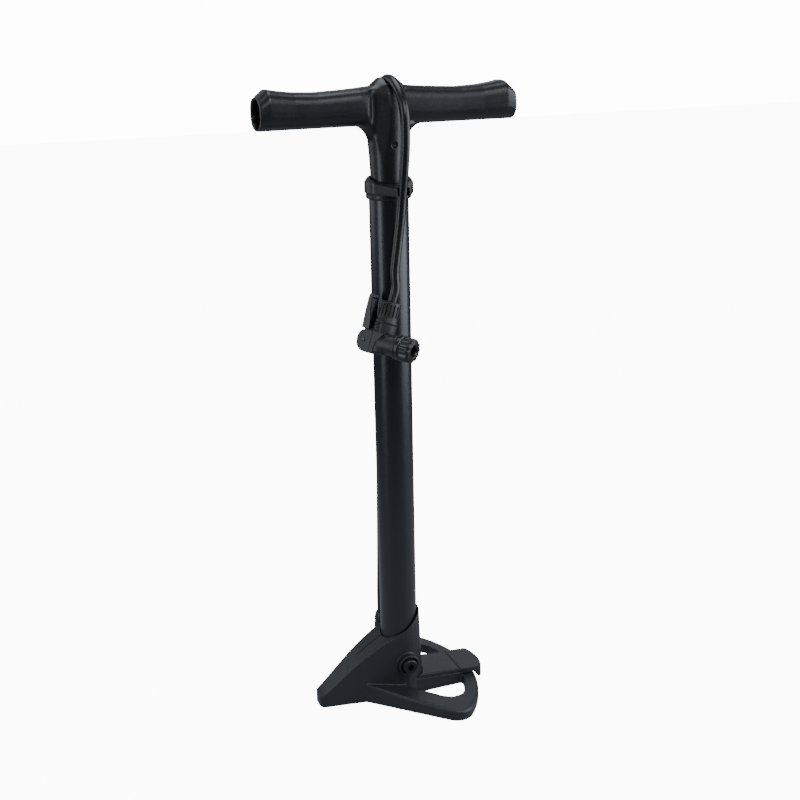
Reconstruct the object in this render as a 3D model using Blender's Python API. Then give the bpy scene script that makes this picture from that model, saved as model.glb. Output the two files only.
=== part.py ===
"""Floor bicycle pump: barrel on a three-legged foot, T-handle on a sliding rod, hose and lever head.

The frame: origin on the floor at the barrel's axis, +Z up the barrel, -X towards the foot's nose,
+X towards its tongue, -Y the side where the hose hangs. The handle's bar lies along X.
Dimensions below are in millimetres; the mesh helpers turn them into metres.
"""
import math

import bpy
import bmesh
from mathutils import Matrix, Vector

MM = 0.001
GAP = 0.3

# Barrel and stroke
BARREL_R = 17.5
BARREL_BORE_R = 16.0
BARREL_FOOT_Z = 14.0
BARREL_TOP_Z = 484.0
ROD_R = 5.0
STROKE_STOP_Z = 462.0

# Foot
FLOOR_LIFT = 0.4
FLOOR_BOSS_R = 14.0
NOSE_TIP_X = -84.8
NOSE_TAPER = 0.15
SOCKET_R_LOW = 22.8
SOCKET_R_HIGH = 20.0
SOCKET_TOP_Z = 88.0
RIM_CENTRE_X = -40.6
RIM_OUTER_R = 114.5
RIM_INNER_R = 101.0
ARM_OUTER_SUM = -57.5
ARM_INNER_SUM = -25.5
BEAM_HALF = 20.0
BEAM_END_X = 58.0
TONGUE_END_X = 83.6
PLATE_DEPTH = 3.2
PLATE_SCREW_X = (34.0, 50.0)
ARM_TOP = ((-60.0, 22.6), (-41.0, 20.0), (-8.5, 14.4), (23.0, 11.6), (50.0, 10.1), (90.0, 9.4))
PAD_SPOTS = {
    "nose_pad": (-72.0, 0.0),
    "front_arm_pad": (34.0, -73.5),
    "back_arm_pad": (34.0, 73.5),
    "rim_pad": (67.0, 0.0),
}
BOLT_Z = 36.5
BOLT_FACE_Y = -27.5
PORT_Z = 22.0
GLAND_XY = (-7.8, 26.0)
GLAND_Z = 44.0
GLAND_TOP_Z = 72.0

# Collar and handle
COLLAR_Z = (481.5, 487.0, 496.5, 500.5)
COLLAR_R = 21.2
CLIP_Y = -31.2
CLIP_SLOT_R = 5.3
STEM_FOOT_Z = 492.0
BAR_HALF = 115.6
BAR_LOW_Z = 544.2
PIN_Z = 528.3
WEB_DEPTH = 14.8
FACET_TURN = 35.0
FACET_LEAN = 1.6
FACET_AT = (0.0, -16.0, 508.0)
FACET_LEFT = -8.2

# Hose
HOSE_R = 4.1
HOSE_FINE_Z = 520.0
ARCH_R = 33.0
ARCH_Y = -5.5
ARCH_Z = 549.3

# Pump head: its middle, the way the valve leaves it and the way the hose leaves it
HEAD_MIDDLE = Vector((-24.3, -37.6, 362.9))
HEAD_VALVE_WAY = Vector((0.5728, -0.8135, -0.1003)).normalized()
HEAD_HOSE_WAY = Vector((0.3454, 0.1285, 0.9296))
HEAD_PIVOT = (-12.6, -0.8)
COLLAR_START = 16.7
COLLAR_END = 36.0


# ---------------------------------------------------------------- helpers

def clear_scene():
    """Remove whatever the file opened with."""
    for item in list(bpy.data.objects):
        bpy.data.objects.remove(item, do_unlink=True)


def make_material(name, colour, roughness, metallic=0.0):
    """A plain Principled material in the part's colour."""
    made = bpy.data.materials.new(name)
    made.use_nodes = True
    shader = made.node_tree.nodes["Principled BSDF"]
    shader.inputs["Base Color"].default_value = (*colour, 1.0)
    shader.inputs["Roughness"].default_value = roughness
    shader.inputs["Metallic"].default_value = metallic
    made.diffuse_color = (*colour, 1.0)
    return made


def finish_object(name, bm, material, place=None):
    """Turn a bmesh in millimetres into a named object in metres, with its faces outwards."""
    bmesh.ops.recalc_face_normals(bm, faces=bm.faces)
    bmesh.ops.scale(bm, vec=(MM, MM, MM), verts=bm.verts)
    mesh = bpy.data.meshes.new(name)
    bm.to_mesh(mesh)
    bm.free()
    mesh.shade_smooth()
    mesh.set_sharp_from_angle(angle=math.radians(35))
    if material:
        mesh.materials.append(material)
    made = bpy.data.objects.new(name, mesh)
    bpy.context.scene.collection.objects.link(made)
    if place is not None:
        made.matrix_world = place
    return made


def ring_faces(bm, first, second):
    """Join two rings, either of which may be a single pole vertex."""
    count = max(len(first), len(second))
    for i in range(count):
        j = (i + 1) % count
        corners = []
        for ring, index in ((first, i), (first, j), (second, j), (second, i)):
            vertex = ring[index % len(ring)]
            if vertex not in corners:
                corners.append(vertex)
        if len(corners) > 2:
            bm.faces.new(corners)


def turned(name, outline, material=None, segments=32, place=None, centre=(0, 0), closed=True):
    """Turn a closed outline of (radius, height) about Z."""
    bm = bmesh.new()
    rings = []
    for radius, height in outline:
        if radius < 1e-6:
            rings.append([bm.verts.new((centre[0], centre[1], height))])
            continue
        ring = []
        for i in range(segments):
            angle = math.tau * i / segments
            spot = (centre[0] + radius * math.cos(angle), centre[1] + radius * math.sin(angle), height)
            ring.append(bm.verts.new(spot))
        rings.append(ring)
    last = len(rings) if closed and not (len(rings[0]) == 1 and len(rings[-1]) == 1) else len(rings) - 1
    for k in range(last):
        ring_faces(bm, rings[k], rings[(k + 1) % len(rings)])
    return finish_object(name, bm, material, place)


def loft(name, rings, material=None, place=None):
    """Skin rings of equal length and cap both ends."""
    bm = bmesh.new()
    made = [[bm.verts.new(point) for point in ring] for ring in rings]
    for first, second in zip(made, made[1:]):
        ring_faces(bm, first, second)
    bm.faces.new(made[0])
    bm.faces.new(made[-1])
    return finish_object(name, bm, material, place)


def prism(name, outline, low, high, axis="Z", material=None, place=None):
    """Extrude an outline along an axis: (x, y) along Z, (x, z) along Y, (y, z) along X."""
    builders = {
        "Z": lambda a, b, h: (a, b, h),
        "Y": lambda a, b, h: (a, h, b),
        "X": lambda a, b, h: (h, a, b),
    }
    point = builders[axis]
    rings = [[point(a, b, h) for a, b in outline] for h in (low, high)]
    return loft(name, rings, material, place)


def box(name, low, high, material=None, place=None):
    """An upright box between two corners."""
    corners = [(low[0], low[1]), (high[0], low[1]), (high[0], high[1]), (low[0], high[1])]
    return prism(name, corners, low[2], high[2], "Z", material, place)


def disc(radius, low, high):
    """The outline of a plain solid cylinder."""
    return [(0, low), (radius, low), (radius, high), (0, high)]


def ring_outline(inner, outer, low, high):
    """The outline of a plain ring."""
    return [(inner, low), (outer, low), (outer, high), (inner, high)]


def along(start, direction):
    """A placement that puts local Z along a direction, from a start point in millimetres."""
    way = Vector(direction).normalized()
    turn = Vector((0, 0, 1)).rotation_difference(way).to_matrix().to_4x4()
    return Matrix.Translation(Vector(start) * MM) @ turn


def arc(cx, cy, radius, start, end, steps):
    """Points on an arc, its angles in degrees."""
    points = []
    for i in range(steps + 1):
        angle = math.radians(start + (end - start) * i / steps)
        points.append((cx + radius * math.cos(angle), cy + radius * math.sin(angle)))
    return points


def rounded(corners, steps=5):
    """Round a polygon's corners. Each corner is (x, y, radius)."""
    points = []
    count = len(corners)
    for i, (x, y, radius) in enumerate(corners):
        here = Vector((x, y))
        if radius <= 0:
            points.append((x, y))
            continue
        before = (Vector(corners[i - 1][:2]) - here).normalized()
        after = (Vector(corners[(i + 1) % count][:2]) - here).normalized()
        half = before.angle(after) / 2
        middle = here + (before + after).normalized() * (radius / math.sin(half))
        first = here + before * (radius / math.tan(half)) - middle
        last = here + after * (radius / math.tan(half)) - middle
        sweep = first.angle_signed(last)
        for k in range(steps + 1):
            turn = Matrix.Rotation(-sweep * k / steps, 2)
            points.append(tuple(middle + turn @ first))
    return points


def smooth_line(points, steps=4):
    """A Catmull-Rom curve through points of any dimension."""
    spots = [Vector(point) for point in points]
    padded = [spots[0] * 2 - spots[1], *spots, spots[-1] * 2 - spots[-2]]
    made = []
    for a, b, c, d in zip(padded, padded[1:], padded[2:], padded[3:]):
        for i in range(steps):
            t = i / steps
            spot = 2 * b + (c - a) * t + (2 * a - 5 * b + 4 * c - d) * t ** 2
            spot += (3 * b - 3 * c + d - a) * t ** 3
            made.append(tuple(spot / 2))
    made.append(tuple(spots[-1]))
    return made


def combine(target, tool, operation):
    """Cut, join or intersect a body with a guide that is then hidden."""
    step = target.modifiers.new(operation.lower(), "BOOLEAN")
    step.operation = operation
    step.solver = "EXACT"
    step.object = tool
    tool.hide_render = True
    tool.display_type = "WIRE"


def cut(target, first, *others):
    """Take the tools' shapes out of the target in one go."""
    for tool in others:
        combine(first, tool, "UNION")
    combine(target, first, "DIFFERENCE")


def join(target, *tools):
    """Add each tool's shape to the target."""
    for tool in tools:
        combine(target, tool, "UNION")


# ---------------------------------------------------------------- foot

def plate_top(x):
    """Height of the tongue's tread, which falls away from the barrel."""
    return 19.8 - 0.062 * x


def socket_plan(radius, steps=14):
    """Plan of the socket with the nose tapering away from it on tangent sides."""
    lean = math.degrees(math.atan(NOSE_TAPER))
    side = radius * math.sqrt(1 + NOSE_TAPER ** 2)
    tip_half = side + NOSE_TAPER * NOSE_TIP_X
    plan = arc(0, 0, radius, -90 - lean, 90 + lean, steps)
    tip_r = 6.0
    for sign in (1, -1):
        middle_y = sign * (tip_half - tip_r)
        middle_x = NOSE_TIP_X + tip_r
        start, end = (90 + lean, 180) if sign > 0 else (180, 270 - lean)
        plan += arc(middle_x, middle_y, tip_r, start, end, 4)
    return plan


def above_line(name, line, top=130.0, half=120.0):
    """A cutter for everything above a line of (x, z) points, across the whole width."""
    outline = list(line) + [(line[-1][0], top), (line[0][0], top)]
    return prism(name, outline, -half, half, "Y")


def arm_plan():
    """Plan of both side arms and the curved rim that joins them."""
    corner = arc(RIM_CENTRE_X, 0, RIM_OUTER_R, -51, -43.2, 4)
    fillet = rounded([(-20, ARM_OUTER_SUM + 20, 0), (31.45, -88.95, 16.0), (*corner[-1], 0)], 6)[1:-1]
    rim = arc(RIM_CENTRE_X, 0, RIM_OUTER_R, -43.2, 0, 10)
    half = [(-47.0, -10.5)] + fillet + rim[1:]
    return half + [(x, -y) for x, y in reversed(half[:-1])]


def arm_window(sign):
    """Plan of the opening between the beam, an arm and the rim."""
    start = (-BEAM_HALF + ARM_INNER_SUM + 2 * BEAM_HALF, -BEAM_HALF, 2.0)
    far_x = RIM_CENTRE_X + math.sqrt(RIM_INNER_R ** 2 - BEAM_HALF ** 2)
    near = arc(RIM_CENTRE_X, 0, RIM_INNER_R, -26.0, -14.0, 4)
    plan = [start, (38.0, -63.5, 15.0)] + [(x, y, 0) for x, y in near] + [(far_x, -BEAM_HALF, 2.5)]
    return [(x, -sign * y) for x, y in rounded(plan, 5)]


def build_foot(plastic):
    """The moulded foot: nose and socket, two arms with their rim, and the beam for the tongue."""
    line = smooth_line([(-84.8, 12.5), (-78, 16.0), (-60, 31.5), (-40, 47.5), (-20, 59.9), (0, 70.5),
                        (10, 78.0), (20.5, 86.0)], 3)
    line = [(-100.0, 12.5)] + line + [(40.0, 86.5)]
    rings = []
    for radius, height in ((SOCKET_R_LOW, FLOOR_LIFT), (SOCKET_R_HIGH, SOCKET_TOP_Z)):
        rings.append([(x, y, height) for x, y in socket_plan(radius)])
    nose = loft("guide_nose", rings)
    cut(nose, above_line("cut_nose_top", line))

    foot = prism("foot", arm_plan(), FLOOR_LIFT, 26.0, "Z", plastic)
    cut(foot, above_line("cut_arm_top", ARM_TOP))
    beam_top = [(8.0, plate_top(8.0)), (BEAM_END_X, plate_top(BEAM_END_X))]
    beam_top = [(x, z - PLATE_DEPTH - GAP) for x, z in beam_top]
    outline = [(8.0, FLOOR_LIFT), (BEAM_END_X, FLOOR_LIFT)] + beam_top[::-1]
    join(foot, prism("guide_beam", outline, -BEAM_HALF - 2, BEAM_HALF + 2, "Y"))
    for name, sign in (("cut_window_front", -1), ("cut_window_back", 1)):
        cut(foot, prism(name, arm_window(sign), -5.0, 60.0))
    join(foot, nose, turned("guide_floor_boss", disc(FLOOR_BOSS_R, 0.0, 5.0)))

    gland_x, gland_y = GLAND_XY
    join(foot, turned("guide_gland_boss", disc(9.6, FLOOR_LIFT, GLAND_Z + 1), centre=GLAND_XY))
    join(foot, turned("guide_bolt_boss", disc(10.4, 0, -BOLT_FACE_Y - 12),
                      place=along((0, -12, BOLT_Z), (0, -1, 0))))
    across = (gland_x, gland_y, 0)
    tools = [
        turned("cut_barrel_bore", disc(BARREL_R + GAP, BARREL_FOOT_Z - GAP, 120), segments=48),
        turned("cut_gland_seat", [(0, PORT_Z - 5.0), (4.6, PORT_Z - 5.0), (4.6, GLAND_Z), (8.1, GLAND_Z), (8.1, 110),
                                  (0, 110)], centre=GLAND_XY),
        turned("cut_bolt_way", [(0, 10), (3.3, 10), (3.3, 24.2), (8.2, 24.2), (8.2, 45), (0, 45)],
               place=along((0, 0, BOLT_Z), (0, -1, 0))),
        turned("cut_port_across", disc(4.3, 10, 27), segments=18, place=along((0, 0, PORT_Z), across)),
        box("cut_beam_core", (26.0, -16.0, -5.0), (56.0, 16.0, 9.0)),
    ]
    core = [(-62.0, -5.0), (-62.0, 23.0), (-45.0, 36.0), (-26.0, 48.0), (-26.0, -5.0)]
    tools.append(prism("cut_nose_core", core, -6.0, 6.0, "Y"))
    for number, x in enumerate(PLATE_SCREW_X, start=1):
        tools.append(turned(f"cut_screw_hole_{number}", disc(1.8, 0, 30), centre=(x, 0), segments=16))
    for name, (x, y) in PAD_SPOTS.items():
        tools.append(turned(f"cut_{name}", disc(5.6, -5.0, 3.0), centre=(x, y), segments=24))
    cut(foot, *tools)
    return foot


def build_foot_fittings(mats):
    """The tread plate with its screws, the rubber pads and the bolt that locks the barrel."""
    plan = arc(0, 0, SOCKET_R_LOW - 0.2, 62.0, -62.0, 12)
    end = [(77.5, -BEAM_HALF)] + arc(TONGUE_END_X - 46.0, 0, 46.0, -24.0, 24.0, 10) + [(77.5, BEAM_HALF)]
    plan += end
    lip = RIM_CENTRE_X + RIM_OUTER_R + 0.4
    under = 10.6
    profile = [(5.0, plate_top(5.0)), (86.0, plate_top(86.0)), (86.0, 3.6), (lip + 2.5, 3.6), (lip, 6.0),
               (lip, under), (BEAM_END_X + GAP, under), (BEAM_END_X + GAP, plate_top(BEAM_END_X) - PLATE_DEPTH),
               (5.0, plate_top(5.0) - PLATE_DEPTH)]
    plate = prism("tread_plate", profile, -BEAM_HALF - 5, BEAM_HALF + 5, "Y", mats["plastic"])
    combine(plate, prism("guide_tread_plan", plan, 0, 30), "INTERSECT")
    cut(plate, box("cut_tread_line", (62.0, -30, plate_top(62.0) - 0.6), (62.8, 30, 30)))
    for number, x in enumerate(PLATE_SCREW_X, start=1):
        cut(plate, turned(f"cut_plate_hole_{number}", disc(1.8, 0, plate_top(x) - 1.0), centre=(x, 0), segments=16))
        head = [(0, 5.6), (3.4, 5.6), (3.4, 8.6), (1.5, 8.6), (1.5, plate_top(x) - 1.6), (0, plate_top(x) - 1.6)]
        turned(f"tread_screw_{number}", head, mats["steel"], 20, centre=(x, 0))
    for name, spot in PAD_SPOTS.items():
        turned(name, disc(5.3, 0.0, 2.7), mats["rubber"], 24, centre=spot)

    bolt = [(0, 0), (2.9, 0), (2.9, 15.0), (7.3, 15.0), (7.3, 20.6), (6.5, 21.4), (0, 21.4)]
    locking = turned("socket_bolt", bolt, mats["black_steel"], 28, place=along((0, -9.5, BOLT_Z), (0, -1, 0)))
    hexagon = turned("cut_hex_socket", disc(3.5, 17.4, 30), segments=6,
                     place=along((0, -9.5, BOLT_Z), (0, -1, 0)))
    cut(locking, hexagon)


# ---------------------------------------------------------------- barrel and valve

def build_barrel(mats):
    """The barrel tube, its foot plug with the check valve, and the way out to the hose."""
    gland_x, gland_y = GLAND_XY
    barrel = turned("barrel", ring_outline(BARREL_BORE_R, BARREL_R, BARREL_FOOT_Z, BARREL_TOP_Z), mats["paint"], 56)
    plug_r = BARREL_BORE_R - GAP
    plug_outline = [(0, 14.3), (plug_r, 14.3), (plug_r, 40.2), (13.2, 40.2), (13.2, 42.8), (plug_r, 42.8),
                    (plug_r, 46.0), (6.4, 46.0), (6.4, 41.0), (4.3, 41.0), (4.3, 26.0), (2.0, 26.0),
                    (2.0, PORT_Z), (0, PORT_Z)]
    plug = turned("foot_plug", plug_outline, mats["white_plastic"], 40)
    across = (gland_x, gland_y, 0)
    cut(barrel, turned("cut_barrel_bolt", disc(3.3, 12, 24), segments=20, place=along((0, 0, BOLT_Z), (0, -1, 0))),
        turned("cut_barrel_port", disc(4.5, 10, 24), segments=20, place=along((0, 0, PORT_Z), across)))
    cut(plug, turned("cut_plug_bolt", disc(3.3, 9.0, 20), segments=20, place=along((0, 0, BOLT_Z), (0, -1, 0))),
        turned("cut_plug_port", [(0, 0.0), (1.9, 0.0), (1.9, 8.5), (4.5, 8.5), (4.5, 20.0), (0, 20.0)], segments=20,
               place=along((0, 0, PORT_Z + 0.1), across)))

    turned("plug_seal", ring_outline(13.6, 15.7, 40.6, 42.4), mats["rubber"], 40)
    turned("valve_seat", [(2.2, 41.3), (6.1, 41.3), (6.1, 45.7), (3.0, 45.7), (2.2, 44.5)], mats["brass"], 24)
    ball = [(3.2 * math.sin(math.pi * i / 8), 38.6 - 3.2 * math.cos(math.pi * i / 8)) for i in range(9)]
    turned("check_ball", ball, mats["steel"], 16)
    build_spring("check_spring", mats["steel"], 2.7, 0.4, 26.4, 35.1, 5)

    reach = Vector(across).length
    elbow = turned("outlet_elbow", [(0, PORT_Z - 4.6), (3.2, PORT_Z - 4.6), (4.2, PORT_Z - 3.4), (4.2, GLAND_Z - 1), (3.3, GLAND_Z), (3.3, 70.0),
                                    (2.0, 71.0), (0, 71.0)], mats["brass"], 20, centre=GLAND_XY)
    join(elbow, turned("guide_elbow_leg", disc(3.9, 9.0, reach), segments=18,
                       place=along((0, 0, PORT_Z), across)))
    gland = [(3.7, GLAND_Z + GAP), (7.7, GLAND_Z + GAP), (7.7, 64.0), (7.2, 67.5), (6.0, 70.5), (4.6, GLAND_TOP_Z),
             (3.7, GLAND_TOP_Z)]
    turned("hose_gland", gland, mats["plastic"], 28, centre=GLAND_XY)


def build_spring(name, material, radius, wire, low, high, turns):
    """A round-wire compression spring."""
    bm = bmesh.new()
    steps = turns * 12
    rings = []
    for i in range(steps + 1):
        angle = math.tau * turns * i / steps
        height = low + wire + (high - low - 2 * wire) * i / steps
        ring = []
        for k in range(6):
            turn = math.tau * k / 6
            out = radius + wire * math.cos(turn)
            spot = (out * math.cos(angle), out * math.sin(angle), height + wire * math.sin(turn))
            ring.append(bm.verts.new(spot))
        rings.append(ring)
    for first, second in zip(rings, rings[1:]):
        ring_faces(bm, first, second)
    bm.faces.new(rings[0])
    bm.faces.new(rings[-1])
    return finish_object(name, bm, material)


def build_piston(mats):
    """The rod and what it carries down the barrel, from its nut up."""
    turned("piston_rod", [(0, 48.6), (4.6, 48.6), (ROD_R, 49.2), (ROD_R, 545.0), (0, 545.0)], mats["chrome"], 24)
    hole = ROD_R + GAP
    turned("piston_nut", ring_outline(hole / math.cos(math.pi / 6), 8.8, 49.5, 54.0), mats["steel"], 6)
    turned("piston_washer", ring_outline(hole, 11.5, 54.3, 55.6), mats["steel"], 28)
    lip = BARREL_BORE_R - 0.35
    cup = [(hole, 59.0), (11.0, 59.0), (13.6, 55.9), (lip, 55.9), (lip, 62.0), (14.5, 64.0), (hole, 64.0)]
    turned("piston_cup", cup, mats["rubber"], 40)
    turned("piston_head", [(hole, 64.3), (14.0, 64.3), (15.0, 66.0), (15.0, 72.0), (9.0, 76.0), (hole, 76.0)],
           mats["white_plastic"], 36)
    rod = bpy.data.objects["piston_rod"]
    cut(rod, turned("cut_rod_pin", disc(2.2, -10, 10), segments=16, place=along((0, 0, PIN_Z), (0, 1, 0))))


# ---------------------------------------------------------------- collar

def build_collar(mats):
    """The cap on the barrel's top, which guides the rod and clips the hose."""
    low, band, top, peak = COLLAR_Z
    outline = [(BARREL_R + GAP, low), (19.0, low), (20.0, low + 1.4), (20.0, band), (COLLAR_R, band),
               (COLLAR_R, top), (18.3, peak), (16.6, peak), (16.6, 489.0), (7.0, 489.0), (7.0, STROKE_STOP_Z),
               (BARREL_BORE_R - GAP, STROKE_STOP_Z), (BARREL_BORE_R - GAP, BARREL_TOP_Z + GAP),
               (BARREL_R + GAP, BARREL_TOP_Z + GAP)]
    collar = turned("top_collar", outline, mats["plastic"], 48)
    side = [(-19.6, -4.0), (-17.4, -18.0), (-13.2, -28.0), (-8.4, -34.6)]
    clip_plan = side + [(-x, y) for x, y in reversed(side)]
    clip = prism("guide_clip", clip_plan, band, top)
    slot = [(-CLIP_SLOT_R, -45.0)] + arc(0, CLIP_Y, CLIP_SLOT_R, 180, 0, 10) + [(CLIP_SLOT_R, -45.0)]
    cut(clip, prism("cut_clip_slot", slot, band - 5, top + 5),
        turned("cut_clip_inside", disc(18.6, band - 5, top + 5), segments=48))
    join(collar, clip)
    dip = [(-60.0, 520.0), (-60.0, 491.0), (-14.0, 496.4), (2.0, 501.0), (2.0, 520.0)]
    cut(collar, prism("cut_collar_dip", dip, -30.0, 30.0, "X"))

    turned("rod_bush", ring_outline(ROD_R + GAP, 6.7, STROKE_STOP_Z + 0.5, 484.0), mats["white_plastic"], 28)
    turned("rod_wiper", ring_outline(ROD_R + GAP, 6.7, 484.3, 488.6), mats["rubber"], 28)
    turned("stop_ring", ring_outline(6.2, 15.2, 489.3, 491.7), mats["rubber"], 36)


# ---------------------------------------------------------------- handle

BAR_STATIONS = (
    # x, top height, half width
    (0.0, 577.0, 15.5),
    (14.0, 577.3, 15.5),
    (28.0, 576.0, 15.4),
    (45.0, 574.9, 15.3),
    (65.0, 574.0, 15.4),
    (85.0, 574.9, 16.0),
    (98.0, 576.6, 16.9),
    (107.0, 578.2, 17.6),
    (BAR_HALF, 570.5, 17.0),
)


def bar_section(x, top, half):
    """A section across the handle's bar: a soft box, flatter on top."""
    middle = (top + BAR_LOW_Z) / 2
    rise = (top - BAR_LOW_Z) / 2
    points = []
    for i in range(28):
        angle = math.tau * i / 28
        c, s = math.cos(angle), math.sin(angle)
        power = 0.62 if s > 0 else 0.8
        y = half * math.copysign(abs(c) ** power, c)
        z = middle + rise * math.copysign(abs(s) ** power, s)
        points.append((x, y, z))
    return points


def build_handle(mats):
    """The one-piece T-handle: bar, hub with the hose saddle, and the stem over the rod."""
    stations = [(-x, top, half) for x, top, half in reversed(BAR_STATIONS[1:])] + list(BAR_STATIONS)
    handle = loft("handle", [bar_section(*station) for station in stations], mats["handle_plastic"])
    stem = [(0, STEM_FOOT_Z), (15.4, STEM_FOOT_Z), (15.7, 503.0), (16.5, 520.0), (17.6, 533.0), (18.9, 546.0),
            (19.2, 560.0), (17.4, 571.0), (14.0, 578.5), (8.5, 583.2), (0, 585.0)]
    web = [(15.6, 517.0), (17.5, 531.0), (19.2, 536.0), (22.3, 540.4), (25.8, 543.0), (29.4, 544.3), (31.0, 547.0)]
    rings = []
    for reach, height in web:
        rings.append([(reach * math.cos(math.tau * i / 36), WEB_DEPTH * math.sin(math.tau * i / 36), height)
                      for i in range(36)])
    join(handle, turned("guide_stem", stem, segments=40), loft("guide_web", rings))

    saddle = []
    for i in range(19):
        angle = math.radians(-25 + 230 * i / 18)
        out = Vector((0, math.cos(angle), math.sin(angle)))
        middle = Vector((0, ARCH_Y, ARCH_Z)) + out * ARCH_R
        ring = []
        for k in range(16):
            turn = math.tau * k / 16
            ring.append(middle + (Vector((1, 0, 0)) * math.cos(turn) + out * math.sin(turn)) * (HOSE_R + 0.7))
        saddle.append(ring)
    turn = Matrix.Rotation(math.radians(-FACET_TURN), 4, "Z")
    lean = Matrix.Rotation(math.radians(FACET_LEAN), 4, "X")
    facet = box("cut_facet", (FACET_LEFT, -25.0, -20.0), (20.0, 0.0, 90.0),
                place=turn @ Matrix.Translation(Vector(FACET_AT) * MM) @ lean)
    tools = [loft("cut_saddle", saddle), facet, turned("cut_rod_bore", disc(ROD_R + GAP, 480, 546), segments=24),
             turned("cut_pin_hole", disc(2.2, -25, 25), segments=16, place=along((0, 0, PIN_Z), (0, 1, 0)))]
    for name, sign in (("cut_hollow_left", -1), ("cut_hollow_right", 1)):
        rings = []
        for reach, width, rise in ((50.0, 10.5, 10.5), (BAR_HALF - 6, 13.4, 12.4), (BAR_HALF + 5, 14.2, 12.8)):
            ring = [(sign * reach, width * math.cos(math.tau * i / 28), 558.0 + rise * math.sin(math.tau * i / 28))
                    for i in range(28)]
            rings.append(ring)
        tools.append(loft(name, rings))
    cut(handle, *tools)
    turned("handle_pin", [(0, -16.8), (1.6, -16.8), (1.9, -16.2), (1.9, 16.2), (1.6, 16.8), (0, 16.8)],
           mats["steel"], 16, place=along((0, 0, PIN_Z), (0, 1, 0)))


# ---------------------------------------------------------------- pump head

def head_frame():
    """Local X is the valve's way out, local Y the hose's, local Z the lever pin's."""
    x = HEAD_VALVE_WAY
    y = (HEAD_HOSE_WAY - x * HEAD_HOSE_WAY.dot(x)).normalized()
    z = x.cross(y)
    turn = Matrix((x, y, z)).transposed().to_4x4()
    return Matrix.Translation(HEAD_MIDDLE * MM) @ turn


def build_head(mats):
    """The head: body, lever with its pin, plunger, gasket, knurled nut, and the sleeve on the hose."""
    frame = head_frame()
    valve_way = frame @ Matrix.Rotation(math.radians(90), 4, "Y")
    hose_way = frame @ Matrix.Rotation(math.radians(-90), 4, "X")
    pivot_x, pivot_y = HEAD_PIVOT

    block = rounded([(-19.4, 8.2, 6.8), (-19.4, -11.3, 9.2), (-1.0, -11.3, 0), (-0.8, -2.0, 12.0), (6.4, 8.2, 0)], 5)
    body = prism("head_body", block, -10.0, 10.0, "Z", mats["gloss_plastic"], frame)
    barrel = [(0, -6.0), (9.5, -6.0), (9.4, 12.0), (9.2, 15.4), (10.9, 16.0), (10.9, 19.0), (7.6, 19.0), (7.6, 28.0),
              (0, 28.0)]
    join(body, turned("guide_neck", [(0, -9.9), (8.0, -9.9), (9.2, -8.7), (9.2, 8.0), (9.9, 9.0), (9.9, 16.4), (0, 16.4)],
                      segments=32, place=hose_way),
         turned("guide_valve_barrel", barrel, segments=32, place=valve_way))
    pin_place = frame @ Matrix.Translation(Vector((pivot_x, pivot_y, 0)) * MM)
    cut(body,
        turned("cut_plunger_bore", [(0, -12.0), (5.3, -12.0), (5.3, 9.0), (6.5, 9.0), (6.5, 40.0), (0, 40.0)],
               segments=24, place=valve_way),
        box("cut_lever_slot", (-30.0, pivot_y - 5.8, -4.4), (pivot_x + 5.8, 8.6, 4.4), place=frame),
        turned("cut_pin_bore", disc(1.8, -12, 12), segments=16, place=pin_place),
        turned("cut_hose_way", [(0, 0), (1.8, 0), (1.8, 6.0), (3.8, 6.0), (3.8, 30), (0, 30)], segments=20, place=hose_way))
    for number in range(3):
        low = 8.7 + 2.7 * number
        cut(body, box(f"cut_neck_slot_{number + 1}", (-8.8, low, 6.8), (0.4, low + 1.5, 14.0), place=frame))

    lever_outline = [(-19.4, 9.0), (-20.2, 24.0), (-20.4, 36.0), (-19.6, 39.6), (-17.8, 40.0), (-16.8, 36.0),
                     (-15.2, 26.0), (-12.6, 16.0), (-11.8, 9.0)]
    lever = prism("lock_lever", lever_outline, -6.8, 6.8, "Z", mats["gloss_plastic"], frame)
    eye = arc(pivot_x, pivot_y, 5.2, -180, 0, 12) + [(-8.6, 4.5), (-11.6, 9.5), (-17.6, 9.5)]
    join(lever, prism("guide_lever_eye", eye, -4.0, 4.0, "Z", place=frame))
    hollow = [(-17.6, 12.6), (-5.0, 12.6), (-5.0, 36.6), (-18.6, 36.6)]
    cut(lever, turned("cut_lever_pin", disc(1.9, -12, 12), segments=16, place=pin_place),
        prism("cut_lever_hollow", hollow, -5.4, 5.4, "Z", place=frame))
    turned("lever_pin", disc(1.5, -10.3, 10.3), mats["steel"], 16, place=pin_place)

    turned("head_plunger", [(0, -5.6), (4.4, -5.6), (4.9, -5.0), (4.9, 12.2), (0, 12.2)], mats["white_plastic"], 24,
           place=valve_way)
    turned("valve_depressor", [(0, 12.5), (3.3, 12.5), (3.3, 13.4), (1.1, 13.4), (1.1, 20.0), (0, 20.0)],
           mats["brass"], 16, place=valve_way)
    turned("valve_gasket", ring_outline(4.0, 6.2, 14.0, 28.2), mats["rubber"], 24, place=valve_way)
    build_nut(mats, valve_way)

    turned("hose_barb", [(0, 6.5), (3.5, 6.5), (3.5, 17.0), (2.7, 17.4), (3.3, 18.2), (2.7, 22.0), (3.3, 22.8), (2.7, 26.6),
                         (3.1, 27.2), (2.0, 33.0), (0, 33.0)], mats["brass"], 20, place=hose_way)
    sleeve = [(4.4, COLLAR_START), (9.7, COLLAR_START), (9.7, 18.6), (9.2, 19.4), (8.7, 34.6), (8.2, COLLAR_END),
              (4.4, COLLAR_END)]
    turned("hose_sleeve", sleeve, mats["gloss_plastic"], 32, place=hose_way)


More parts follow.
